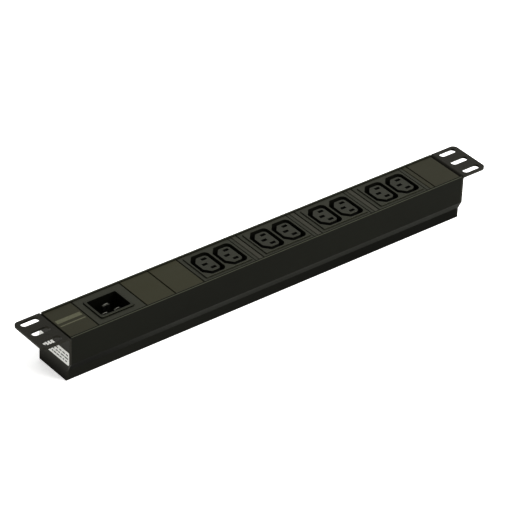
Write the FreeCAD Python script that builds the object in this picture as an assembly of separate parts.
import FreeCAD, Part
import math
import os

# Rack power strip: extruded channel, snap-in modules, two slotted L-brackets.
# Row frame in mm: X along the strip, Y across it, Z out of the outlet face, origin under its middle.
V = FreeCAD.Vector
os.makedirs("parts", exist_ok=True)

# ---- channel ----
BODY_HALF_L = 212.6
BODY_HALF_W = 22.0
BODY_H = 46.0
WALL = 1.5
FLOOR = 1.8
NEAR_EDGE_R = 0.9
FAR_EDGE_R = 0.4
STEP_TOP_Z = 18.2
STEP_LOW_Z = 9.6
STEP_Y = -17.9
WALL_IN = BODY_HALF_W - WALL
STEP_IN_TOP_Z = 18.54
STEP_IN_LOW_Z = 9.94
STEP_IN_Y = STEP_Y + WALL
LEDGE_Z = 42.1
LEDGE_T = 1.6
LEDGE_IN = 18.9
BOSS_Y = 16.8
BOSS_Z = 23.3
BOSS_R = 2.9
BOSS_HOLE_R = 1.5
BOSS_WEB = 1.2
LIP_R = 0.3
STEP_R = 0.8
BACK_R = 0.5

# ---- rack brackets ----
SHEET = 2.0
EAR_END = 241.3
EAR_TOP = 45.7
EAR_CORNER_R = 5.0
BEND_IN_R = 0.8
PLATE_FAR_Y = 21.0
SHOULDER_Z = (40.0, 41.0)
SLOT_X = 228.0
SLOT_L = 18.0
SLOT_W = 7.0
SLOT_PITCH = 15.875
SCREW_HEAD_R = 3.4
SCREW_CLEAR_R = 1.9
SCREW_SINK = 1.5
SCREW_LEN = 13.0
SCREW_CROSS = (0.45, 1.8)
SCREW_CROSS_DEPTH = 0.9

# ---- rating label ----
LABEL_T = 0.15
LABEL_Y = (-21.7, 20.3)
LABEL_Z = (16.9, 30.2)
LABEL_R = 0.8
LABEL_SNIP = (1.0, 1.6)
LABEL_SNIP_R = 0.3

# ---- modules ----
GAP = 0.3
SPACER_GAP = 0.1
FLANGE_TOP = 45.1
FLANGE_HALF_W = 20.4
PANEL_TOP = 45.85
EDGE_C = 0.35
FINE_C = 0.15
SKIRT_Y = (17.3, 18.7)
SKIRT_BOTTOM = 36.0
LEG_INSET = 3.0
SPACER_LEG_INSET = 0.6
HOOK_OUT = 19.7
HOOK_BITE = 0.4
HOOK_Z = (37.0, 39.9, 40.4)
HOOK_L = 8.0
ROW_START = -212.75
END_BLANK_L = 29.5
INLET_L = 49.3
BLANK_L = 30.05
DUPLEX_L = 64.15
SPACER_L = 5.3
GROOVE_X = (54.7, 55.4)
GROOVE_D = 0.8
DUPLEX_COUNT = 4

# ---- twin outlet ----
PANEL_X = (4.45, 53.65)
PANEL_HALF_W = 16.9
PANEL_R = 0.6
OUTLET_PITCH = 23.8
RECESS_W = 21.8
RECESS_L = 30.4
RECESS_CUT = (6.0, 6.8)
RECESS_R = (5.0, 1.8)
CORE_W = 15.4
CORE_L = 22.5
CORE_CUT = (4.8, 5.6)
CORE_R = (3.6, 1.6)
CORE_TOP = 45.6
SHELL_BOTTOM = 28.3
BASE_BOTTOM = 26.5
COVER_BOTTOM = 21.5
COVER_HALF_W = 13.5
COVER_WALL = 1.3
LN_HALF_PITCH = 7.0
LN_X = 2.3
EARTH_X = -1.7
ENTRY_X = 5.2
ENTRY_Y = 3.0
ENTRY_T = 3.0
POCKET_X = 6.2
POCKET_Y = 4.4
LEAF_IN = 1.0
LEAF_T = 0.6
LEAF_W = 5.0
LEAF_TOP = 41.5
STRIP_T = 0.8
TAB_W = 6.3
TAB_T = 0.8
TAB_BOTTOM = 14.0
TAB_CLEAR = 0.1
LN_TAB_X = 19.5
EARTH_TAB_X = -19.5

# ---- inlet ----
INLET_OFF = -0.55
BEZEL_TOP = 46.0
BEZEL_SEAT = 0.6
BEZEL_GAP = 0.35
BEZEL_X = 34.3
BEZEL_Y = 27.6
BEZEL_R = 2.0
BODY_X = 33.2
BODY_Y = 26.4
BODY_R = 1.0
BODY_BOTTOM = 26.0
CLIP_OUT = 1.0
CLIP_BITE = 0.5
CLIP_Z = (37.1, 41.5, 42.0)
CLIP_HALF_W = 4.0
CAVITY_X = 29.6
CAVITY_Y = 23.0
CAVITY_R = 1.6
CAVITY_FLOOR = 28.0
PIN_W = 8.0
PIN_T = 2.0
PIN_DX = 6.5
PIN_DY = 4.0
LN_TIP = 41.2
EARTH_TIP = 43.1
PIN_STEP_Z = 22.0
PIN_TIP_R = 3.0
PIN_TAPER = 1.2
PIN_TIP_HALF_T = 0.45

# ---- wiring ----
WIRE_R = 1.8
TRUNK_Z = 6.0
CROSS_Z = 10.5
SLEEVE_Z = (11.5, 20.5)
SLEEVE_X = 8.0
SLEEVE_Y = 3.4
STUD_X = -197.5
STUD_R = 2.0
STUD_KNURL_R = 2.5
STUD_TOP = 11.0
LUG_T = 1.0
LUG_R = 4.2
LUG_HALF_W = 2.6
LUG_REACH = 8.0
LUG_WIRE_END = 5.0
LUG_WIRE_RISE = 12.0
WIRE_BITE = 0.5
NUT_AF = 7.0
NUT_H = 3.2


def box(x0, x1, y0, y1, z0, z1):
    return Part.makeBox(x1 - x0, y1 - y0, z1 - z0, V(x0, y0, z0))


def rounded_wire(points, place):
    # points are (a, b, corner radius); place turns (a, b) into a 3D point
    flat = [V(a, b, 0) for a, b, r in points]
    count = len(flat)
    starts = []
    ends = []
    middles = []
    for i in range(count):
        here = flat[i]
        radius = points[i][2]
        to_prev = (flat[i - 1] - here).normalize()
        to_next = (flat[(i + 1) % count] - here).normalize()
        if radius <= 0:
            starts.append(here)
            ends.append(here)
            middles.append(None)
            continue
        half = to_prev.getAngle(to_next) / 2.0
        reach = radius / math.tan(half)
        starts.append(here + to_prev * reach)
        ends.append(here + to_next * reach)
        inward = (to_prev + to_next).normalize()
        middles.append(here + inward * (radius / math.sin(half) - radius))
    edges = []
    for i in range(count):
        if middles[i] is not None:
            arc = Part.Arc(place(starts[i]), place(middles[i]), place(ends[i]))
            edges.append(arc.toShape())
        a = ends[i]
        b = starts[(i + 1) % count]
        if (b - a).Length > 1e-6:
            edges.append(Part.makeLine(place(a), place(b)))
    return Part.Wire(edges)


def prism_x(points, x0, x1):
    # points in (Y, Z)
    wire = rounded_wire(points, lambda p: V(x0, p.x, p.y))
    return Part.Face(wire).extrude(V(x1 - x0, 0, 0))


def prism_y(points, y0, y1):
    # points in (X, Z)
    wire = rounded_wire(points, lambda p: V(p.x, y0, p.y))
    return Part.Face(wire).extrude(V(0, y1 - y0, 0))


def prism_z(points, z0, z1):
    # points in (X, Y)
    wire = rounded_wire(points, lambda p: V(p.x, p.y, z0))
    return Part.Face(wire).extrude(V(0, 0, z1 - z0))


def fuse(shapes):
    first = shapes[0]
    if len(shapes) == 1:
        return first
    return first.fuse(shapes[1:]).removeSplitter()


def bevel_top(shape, size):
    top = shape.BoundBox.ZMax
    edges = [e for e in shape.Edges if e.BoundBox.ZMin > top - 1e-4]
    return shape.makeChamfer(size, edges)


def save(name, shape):
    shape.exportStep("parts/" + name + ".step")


def cylinder_x(r, x0, x1, y, z):
    return Part.makeCylinder(r, x1 - x0, V(x0, y, z), V(1, 0, 0))


# ---------------------------------------------------------------- channel

def channel_section():
    ledge_low = LEDGE_Z - LEDGE_T
    near = [
        (-WALL_IN, STEP_IN_TOP_Z, 0),
        (-WALL_IN, ledge_low, 0),
        (-LEDGE_IN, ledge_low, 0),
        (-LEDGE_IN, LEDGE_Z, 0),
        (-WALL_IN, LEDGE_Z, 0),
        (-WALL_IN, BODY_H, LIP_R),
        (-BODY_HALF_W, BODY_H, NEAR_EDGE_R),
        (-BODY_HALF_W, STEP_TOP_Z, STEP_R),
        (STEP_Y, STEP_LOW_Z, STEP_R),
        (STEP_Y, 0, BACK_R),
    ]
    far = [
        (BODY_HALF_W, 0, BACK_R),
        (BODY_HALF_W, BODY_H, FAR_EDGE_R),
        (WALL_IN, BODY_H, LIP_R),
        (WALL_IN, LEDGE_Z, 0),
        (LEDGE_IN, LEDGE_Z, 0),
        (LEDGE_IN, ledge_low, 0),
        (WALL_IN, ledge_low, 0),
        (WALL_IN, FLOOR, 0),
    ]
    inner = [(STEP_IN_Y, FLOOR, 0), (STEP_IN_Y, STEP_IN_LOW_Z, 0)]
    return near + far + inner


def channel_extrusion():
    body = prism_x(channel_section(), -BODY_HALF_L, BODY_HALF_L)
    adds = []
    for side in (-1, 1):
        y = side * BOSS_Y
        y_wall = side * (WALL_IN + WALL / 2.0)
        adds.append(cylinder_x(BOSS_R, -BODY_HALF_L, BODY_HALF_L, y, BOSS_Z))
        adds.append(box(-BODY_HALF_L, BODY_HALF_L, min(y, y_wall), max(y, y_wall), BOSS_Z - BOSS_WEB, BOSS_Z + BOSS_WEB))
    body = fuse([body] + adds)
    for side in (-1, 1):
        body = body.cut(cylinder_x(BOSS_HOLE_R, -BODY_HALF_L - 1, BODY_HALF_L + 1, side * BOSS_Y, BOSS_Z))
    hole = Part.makeCylinder(STUD_KNURL_R, FLOOR + 2, V(STUD_X, 0, -1))
    return body.cut(hole)


# ---------------------------------------------------------------- brackets

def bracket_right():
    inner = BODY_HALF_L
    outer = BODY_HALF_L + SHEET
    bend_x = outer + BEND_IN_R
    bend_z = EAR_TOP - SHEET - BEND_IN_R
    plate_outline = [
        (STEP_Y, 0, BACK_R),
        (PLATE_FAR_Y, 0, BACK_R),
        (PLATE_FAR_Y, SHOULDER_Z[0], 0),
        (BODY_HALF_W, SHOULDER_Z[1], 0),
        (BODY_HALF_W, bend_z, 0),
        (-BODY_HALF_W, bend_z, 0),
        (-BODY_HALF_W, STEP_TOP_Z, STEP_R),
        (STEP_Y, STEP_LOW_Z, STEP_R),
    ]
    plate = prism_x(plate_outline, inner, outer)
    axis_at = V(bend_x, -BODY_HALF_W, bend_z)
    reach = BEND_IN_R + SHEET
    ring = Part.makeCylinder(reach, 2 * BODY_HALF_W, axis_at, V(0, 1, 0))
    ring = ring.cut(Part.makeCylinder(BEND_IN_R, 2 * BODY_HALF_W, axis_at, V(0, 1, 0)))
    bend = ring.common(box(bend_x - reach, bend_x, -BODY_HALF_W, BODY_HALF_W, bend_z, bend_z + reach))
    ear = prism_z(
        [
            (bend_x, -BODY_HALF_W, 0),
            (EAR_END, -BODY_HALF_W, EAR_CORNER_R),
            (EAR_END, BODY_HALF_W, EAR_CORNER_R),
            (bend_x, BODY_HALF_W, 0),
        ],
        EAR_TOP - SHEET,
        EAR_TOP,
    )
    shape = fuse([plate, bend, ear])
    half = SLOT_L / 2.0
    r = SLOT_W / 2.0
    low = EAR_TOP - SHEET - 1
    high = EAR_TOP + 1
    for row in (-1, 0, 1):
        y = row * SLOT_PITCH
        slot = box(SLOT_X - half + r, SLOT_X + half - r, y - r, y + r, low, high)
        for x in (SLOT_X - half + r, SLOT_X + half - r):
            slot = slot.fuse(Part.makeCylinder(r, high - low, V(x, y, low)))
        shape = shape.cut(slot)
    for side in (-1, 1):
        hole = cylinder_x(SCREW_CLEAR_R, inner - 1, outer + 1, side * BOSS_Y, BOSS_Z)
        sink = Part.makeCone(SCREW_CLEAR_R, SCREW_HEAD_R, SCREW_SINK,
                             V(outer - SCREW_SINK, side * BOSS_Y, BOSS_Z), V(1, 0, 0))
        shape = shape.cut(hole).cut(sink)
    return shape


def mirror_x(shape):
    return shape.mirror(V(0, 0, 0), V(1, 0, 0))


def bracket_screw(side):
    outer = BODY_HALF_L + SHEET
    head = Part.makeCone(SCREW_CLEAR_R, SCREW_HEAD_R, SCREW_SINK,
                         V(outer - SCREW_SINK, side * BOSS_Y, BOSS_Z), V(1, 0, 0))
    shank = cylinder_x(BOSS_HOLE_R, outer - SCREW_LEN, outer - SCREW_SINK, side * BOSS_Y, BOSS_Z)
    screw = head.fuse(shank).removeSplitter()
    y = side * BOSS_Y
    for w, h in (SCREW_CROSS, SCREW_CROSS[::-1]):
        screw = screw.cut(box(outer - SCREW_CROSS_DEPTH, outer + 1, y - w, y + w, BOSS_Z - h, BOSS_Z + h))
    return screw


def bracket_screws():
    right = [bracket_screw(-1), bracket_screw(1)]
    return Part.makeCompound(right + [mirror_x(s) for s in right])


def rating_label():
    outer = BODY_HALF_L + SHEET
    outline = [
        (LABEL_Y[0] + LABEL_SNIP[0], LABEL_Z[0], LABEL_SNIP_R),
        (LABEL_Y[1], LABEL_Z[0], LABEL_R),
        (LABEL_Y[1], LABEL_Z[1], LABEL_R),
        (LABEL_Y[0], LABEL_Z[1], LABEL_R),
        (LABEL_Y[0], LABEL_Z[0] + LABEL_SNIP[1], LABEL_SNIP_R),
    ]
    return prism_x(outline, -outer - LABEL_T, -outer)


# ---------------------------------------------------------------- modules

def module_edges():
    # left edges of the modules, from the strip's left end to its right end
    x = ROW_START
    table = {"blank_end_left": x}
    x += END_BLANK_L
    table["inlet"] = x
    x += INLET_L
    table["blank_1"] = x
    x += BLANK_L
    table["blank_2"] = x
    x += BLANK_L
    for i in range(DUPLEX_COUNT):
        table["duplex_%d" % (i + 1)] = x
        x += DUPLEX_L
    table["blank_end_right"] = x
    return table


EDGE = module_edges()


def snap_legs(x0, x1):
    # two legs with outward hooks that catch under the channel's ledges
    middle = (x0 + x1) / 2.0
    hook = min(HOOK_L, x1 - x0)
    legs = []
    for side in (-1, 1):
        ys = sorted((side * SKIRT_Y[0], side * SKIRT_Y[1]))
        legs.append(box(x0, x1, ys[0], ys[1], SKIRT_BOTTOM, LEDGE_Z + 0.2))
        root = side * (SKIRT_Y[1] - HOOK_BITE)
        tip = side * HOOK_OUT
        profile = [(root, HOOK_Z[0], 0), (tip, HOOK_Z[1], 0), (tip, HOOK_Z[2], 0), (root, HOOK_Z[2], 0)]
        legs.append(prism_x(profile, middle - hook / 2.0, middle + hook / 2.0))
    return legs


def flange_plate(x0, x1):
    plate = box(x0, x1, -FLANGE_HALF_W, FLANGE_HALF_W, LEDGE_Z, FLANGE_TOP)
    return bevel_top(plate, EDGE_C)


def blank_cover(x0, length):
    plate = flange_plate(x0 + GAP, x0 + length - GAP)
    return fuse([plate] + snap_legs(x0 + LEG_INSET, x0 + length - LEG_INSET))


def spacer_strip(index):
    x1 = EDGE["duplex_%d" % index] + DUPLEX_L
    x0 = x1 - SPACER_L
    plate = flange_plate(x0 + SPACER_GAP, x1 - GAP)
    return fuse([plate] + snap_legs(x0 + SPACER_LEG_INSET, x1 - SPACER_LEG_INSET))


# ---------------------------------------------------------------- inlet

def inlet_centre():
    return EDGE["inlet"] + INLET_L / 2.0 + INLET_OFF


def rect_points(cx, cy, w, h, r):
    return [
        (cx - w / 2.0, cy - h / 2.0, r),
        (cx + w / 2.0, cy - h / 2.0, r),
        (cx + w / 2.0, cy + h / 2.0, r),
        (cx - w / 2.0, cy + h / 2.0, r),
    ]


def inlet_carrier():
    x0 = EDGE["inlet"]
    plate = flange_plate(x0 + GAP, x0 + INLET_L - GAP)
    shape = fuse([plate] + snap_legs(x0 + LEG_INSET, x0 + INLET_L - LEG_INSET))
    cx = inlet_centre()
    window = prism_z(rect_points(cx, 0, BODY_X, BODY_Y, BODY_R), SKIRT_BOTTOM, BODY_H)
    seat_points = rect_points(cx, 0, BEZEL_X + 2 * BEZEL_GAP, BEZEL_Y + 2 * BEZEL_GAP, BEZEL_R + BEZEL_GAP)
    seat = prism_z(seat_points, FLANGE_TOP - BEZEL_SEAT, BODY_H)
    return shape.cut(window).cut(seat)


def inlet_body():
    cx = inlet_centre()
    seat_z = FLANGE_TOP - BEZEL_SEAT
    bezel = prism_z(rect_points(cx, 0, BEZEL_X, BEZEL_Y, BEZEL_R), seat_z, BEZEL_TOP)
    bezel = bevel_top(bezel, FINE_C)
    body = prism_z(rect_points(cx, 0, BODY_X, BODY_Y, BODY_R), BODY_BOTTOM, seat_z)
    clips = []
    for side in (-1, 1):
        root = cx + side * (BODY_X / 2.0 - CLIP_BITE)
        tip = cx + side * (BODY_X / 2.0 + CLIP_OUT)
        profile = [(root, CLIP_Z[0], 0), (tip, CLIP_Z[1], 0), (tip, CLIP_Z[2], 0), (root, CLIP_Z[2], 0)]
        clips.append(prism_y(profile, -CLIP_HALF_W, CLIP_HALF_W))
    shape = fuse([bezel, body] + clips)
    cavity = prism_z(rect_points(cx, 0, CAVITY_X, CAVITY_Y, CAVITY_R), CAVITY_FLOOR, BEZEL_TOP + 1)
    shape = shape.cut(cavity)
    for x, y in inlet_pin_places():
        shape = shape.cut(box(x - PIN_W / 2.0, x + PIN_W / 2.0, y - PIN_T / 2.0, y + PIN_T / 2.0,
                              BODY_BOTTOM - 1, CAVITY_FLOOR + 1))
    return shape


def inlet_pin_places():
    # line, neutral, earth
    cx = inlet_centre()
    return [(cx - PIN_DX, -PIN_DY), (cx + PIN_DX, -PIN_DY), (cx, PIN_DY)]


def inlet_pin(place, tip):
    x, y = place
    half = PIN_W / 2.0
    face = [(x - half, PIN_STEP_Z, 0), (x + half, PIN_STEP_Z, 0), (x + half, tip, PIN_TIP_R),
            (x - half, tip, PIN_TIP_R)]
    side = [
        (y - PIN_T / 2.0, PIN_STEP_Z, 0),
        (y + PIN_T / 2.0, PIN_STEP_Z, 0),
        (y + PIN_T / 2.0, tip - PIN_TAPER, 0),
        (y + PIN_TIP_HALF_T, tip, 0),
        (y - PIN_TIP_HALF_T, tip, 0),
        (y - PIN_T / 2.0, tip - PIN_TAPER, 0),
    ]
    blade = prism_y(face, y - PIN_T, y + PIN_T).common(prism_x(side, x - half - 1, x + half + 1))
    tab = box(x - TAB_W / 2.0, x + TAB_W / 2.0, y - TAB_T / 2.0, y + TAB_T / 2.0, TAB_BOTTOM, PIN_STEP_Z + 0.5)
    return fuse([blade, tab])


# ---------------------------------------------------------------- twin outlets

def duplex_centre(index):
    return EDGE["duplex_%d" % index] + (PANEL_X[0] + PANEL_X[1]) / 2.0


def outlet_xs(index):
    cx = duplex_centre(index)
    return [cx - OUTLET_PITCH / 2.0, cx + OUTLET_PITCH / 2.0]


def outlet_outline(cx, w, length, cut, radii):
    # cut corners on the earth side, rounded corners on the other
    hx = w / 2.0
    hy = length / 2.0
    cut_x, cut_y = cut
    round_r, cut_r = radii
    return [
        (cx + hx, hy, round_r),
        (cx - hx + cut_x, hy, cut_r),
        (cx - hx, hy - cut_y, cut_r),
        (cx - hx, -hy + cut_y, cut_r),
        (cx - hx + cut_x, -hy, cut_r),
        (cx + hx, -hy, round_r),
    ]


def outlet_shell(index):
    x0 = EDGE["duplex_%d" % index]
    plate = flange_plate(x0 + GAP, x0 + DUPLEX_L - SPACER_L - SPACER_GAP)
    groove = box(x0 + GROOVE_X[0], x0 + GROOVE_X[1], -BODY_HALF_W, BODY_HALF_W, FLANGE_TOP - GROOVE_D, FLANGE_TOP + 1)
    plate = plate.cut(groove)
    px0 = x0 + PANEL_X[0]
    px1 = x0 + PANEL_X[1]
    cx = duplex_centre(index)
    panel_points = rect_points(cx, 0, px1 - px0, 2 * PANEL_HALF_W, PANEL_R)
    panel = bevel_top(prism_z(panel_points, SHELL_BOTTOM, PANEL_TOP), FINE_C)
    shape = fuse([plate, panel] + snap_legs(px0 + LEG_INSET, px1 - LEG_INSET))
    for ox in outlet_xs(index):
        outline = outlet_outline(ox, RECESS_W, RECESS_L, RECESS_CUT, RECESS_R)
        shape = shape.cut(prism_z(outline, SHELL_BOTTOM - 1, PANEL_TOP + 1))
    return shape


def contact_places(index):
    # (x, y) of the line, neutral and earth entries of both outlets
    places = {"line": [], "neutral": [], "earth": []}
    for ox in outlet_xs(index):
        places["line"].append((ox + LN_X, LN_HALF_PITCH))
        places["neutral"].append((ox + LN_X, -LN_HALF_PITCH))
        places["earth"].append((ox + EARTH_X, 0.0))
    return places


def outlet_core(index):
    cx = duplex_centre(index)
    length = PANEL_X[1] - PANEL_X[0]
    base = prism_z(rect_points(cx, 0, length, 2 * PANEL_HALF_W, PANEL_R), BASE_BOTTOM, SHELL_BOTTOM)
    blocks = []
    for ox in outlet_xs(index):
        outline = outlet_outline(ox, CORE_W, CORE_L, CORE_CUT, CORE_R)
        blocks.append(bevel_top(prism_z(outline, SHELL_BOTTOM, CORE_TOP), FINE_C))
    shape = fuse([base] + blocks)
    for spots in contact_places(index).values():
        for x, y in spots:
            ex = ENTRY_X / 2.0
            ey = ENTRY_Y / 2.0
            shape = shape.cut(box(x - ex, x + ex, y - ey, y + ey, CORE_TOP - ENTRY_T - 1, CORE_TOP + 1))
            ex = POCKET_X / 2.0
            ey = POCKET_Y / 2.0
            shape = shape.cut(box(x - ex, x + ex, y - ey, y + ey, BASE_BOTTOM - 1, CORE_TOP - ENTRY_T))
    return shape


def tab_places(index):
    cx = duplex_centre(index)
    return {
        "line": (cx + LN_TAB_X, LN_HALF_PITCH),
        "neutral": (cx + LN_TAB_X, -LN_HALF_PITCH),
        "earth": (cx + EARTH_TAB_X, 0.0),
    }


def outlet_cover(index):
    cx = duplex_centre(index)
    half = (PANEL_X[1] - PANEL_X[0]) / 2.0
    tray = box(cx - half, cx + half, -COVER_HALF_W, COVER_HALF_W, COVER_BOTTOM, BASE_BOTTOM)
    inner = box(cx - half + COVER_WALL, cx + half - COVER_WALL, -COVER_HALF_W + COVER_WALL,
                COVER_HALF_W - COVER_WALL, COVER_BOTTOM + COVER_WALL, BASE_BOTTOM + 1)
    shape = tray.cut(inner)
    for x, y in tab_places(index).values():
        hx = TAB_W / 2.0 + TAB_CLEAR
        hy = TAB_T / 2.0 + TAB_CLEAR
        shape = shape.cut(box(x - hx, x + hx, y - hy, y + hy, COVER_BOTTOM - 1, COVER_BOTTOM + COVER_WALL + 1))
    return shape


def contact_strip(index, pole):
    # one stamping serves the same pole of both outlets: two leaves per entry, one wiring tab
    spots = contact_places(index)[pole]
    tab_x, tab_y = tab_places(index)[pole]
    reach = LEAF_IN + LEAF_T
    xs = [x for x, y in spots] + [tab_x]
    strip = box(min(xs) - TAB_W / 2.0, max(xs) + TAB_W / 2.0, tab_y - reach, tab_y + reach,
                BASE_BOTTOM - STRIP_T, BASE_BOTTOM)
    pieces = [strip]
    for x, y in spots:
        for side in (-1, 1):
            ys = sorted((y + side * LEAF_IN, y + side * reach))
            pieces.append(box(x - LEAF_W / 2.0, x + LEAF_W / 2.0, ys[0], ys[1], BASE_BOTTOM - STRIP_T, LEAF_TOP))
    pieces.append(box(tab_x - TAB_W / 2.0, tab_x + TAB_W / 2.0, tab_y - TAB_T / 2.0, tab_y + TAB_T / 2.0,
                      TAB_BOTTOM, BASE_BOTTOM - STRIP_T / 2.0))
    return fuse(pieces)


# ---------------------------------------------------------------- wiring

def wire_path(points):
    pieces = []
    for i in range(len(points) - 1):
        a = V(*points[i])
        b = V(*points[i + 1])
        pieces.append(Part.makeCylinder(WIRE_R, (b - a).Length, a, b - a))
        if i > 0:
            pieces.append(Part.makeSphere(WIRE_R, a))
    return pieces


def terminal_sleeve(x, y):
    hx = SLEEVE_X / 2.0
    hy = SLEEVE_Y / 2.0
    body = box(x - hx, x + hx, y - hy, y + hy, SLEEVE_Z[0], SLEEVE_Z[1])
    mouth = box(x - TAB_W / 2.0, x + TAB_W / 2.0, y - TAB_T / 2.0, y + TAB_T / 2.0, TAB_BOTTOM, SLEEVE_Z[1] + 1)
    return body.cut(mouth)


def harness(pole):
    place = inlet_pin_places()[("line", "neutral", "earth").index(pole)]
    trunk_y = {"line": LN_HALF_PITCH, "neutral": -LN_HALF_PITCH, "earth": 0.0}[pole]
    tabs = [tab_places(i + 1)[pole] for i in range(DUPLEX_COUNT)]
    x, y = place
    last = tabs[-1][0]
    route = [(x, y, SLEEVE_Z[0] + WIRE_BITE), (x, y, CROSS_Z), (x, trunk_y, CROSS_Z), (x, trunk_y, TRUNK_Z),
             (last, trunk_y, TRUNK_Z), (last, trunk_y, SLEEVE_Z[0] + WIRE_BITE)]
    pieces = wire_path(route)
    for tx, ty in tabs[:-1]:
        pieces.append(Part.makeCylinder(WIRE_R, SLEEVE_Z[0] + WIRE_BITE - TRUNK_Z, V(tx, ty, TRUNK_Z)))
    for tx, ty in tabs + [place]:
        pieces.append(terminal_sleeve(tx, ty))
    if pole == "earth":
        low = FLOOR + WIRE_R + 0.1
        pieces += wire_path([(x, 0, TRUNK_Z), (STUD_X + LUG_WIRE_RISE, 0, TRUNK_Z),
                             (STUD_X + LUG_REACH, 0, low), (STUD_X + LUG_WIRE_END, 0, low)])
        tongue = box(STUD_X, STUD_X + LUG_REACH, -LUG_HALF_W, LUG_HALF_W, FLOOR, FLOOR + LUG_T)
        ring = Part.makeCylinder(LUG_R, LUG_T, V(STUD_X, 0, FLOOR))
        lug = tongue.fuse(ring).cut(Part.makeCylinder(STUD_R, 4, V(STUD_X, 0, 0)))
        pieces.append(lug)
    return fuse(pieces)


def earth_stud():
    knurl = Part.makeCylinder(STUD_KNURL_R, FLOOR, V(STUD_X, 0, 0))
    thread = Part.makeCylinder(STUD_R, STUD_TOP, V(STUD_X, 0, 0))
    return knurl.fuse(thread).removeSplitter()


def earth_nut():
    corner = NUT_AF / math.sqrt(3.0)
    points = []
    for i in range(6):
        a = math.radians(60 * i)
        points.append((STUD_X + corner * math.cos(a), corner * math.sin(a), 0))
    low = FLOOR + LUG_T
    nut = prism_z(points, low, low + NUT_H)
    return nut.cut(Part.makeCylinder(STUD_R, 20, V(STUD_X, 0, 0)))


# ---------------------------------------------------------------- write the parts

save("channel_extrusion", channel_extrusion())
right = bracket_right()
save("rack_bracket_right", right)
save("rack_bracket_left", mirror_x(right))
save("bracket_screws", bracket_screws())
save("rating_label", rating_label())
save("blank_cover_end_left", blank_cover(EDGE["blank_end_left"], END_BLANK_L))
save("blank_cover_mid_1", blank_cover(EDGE["blank_1"], BLANK_L))
save("blank_cover_mid_2", blank_cover(EDGE["blank_2"], BLANK_L))
save("blank_cover_end_right", blank_cover(EDGE["blank_end_right"], END_BLANK_L))
save("inlet_carrier", inlet_carrier())
save("inlet_body", inlet_body())
pins = inlet_pin_places()
save("inlet_line_pin", inlet_pin(pins[0], LN_TIP))
save("inlet_neutral_pin", inlet_pin(pins[1], LN_TIP))
save("inlet_earth_pin", inlet_pin(pins[2], EARTH_TIP))
for n in range(1, DUPLEX_COUNT + 1):
    save("outlet_shell_%d" % n, outlet_shell(n))
    save("outlet_core_%d" % n, outlet_core(n))
    save("outlet_cover_%d" % n, outlet_cover(n))
    save("spacer_strip_%d" % n, spacer_strip(n))
    for name in ("line", "neutral", "earth"):
        save("%s_contacts_%d" % (name, n), contact_strip(n, name))
for name in ("line", "neutral", "earth"):
    save("%s_harness" % name, harness(name))
save("earth_stud", earth_stud())
save("earth_nut", earth_nut())
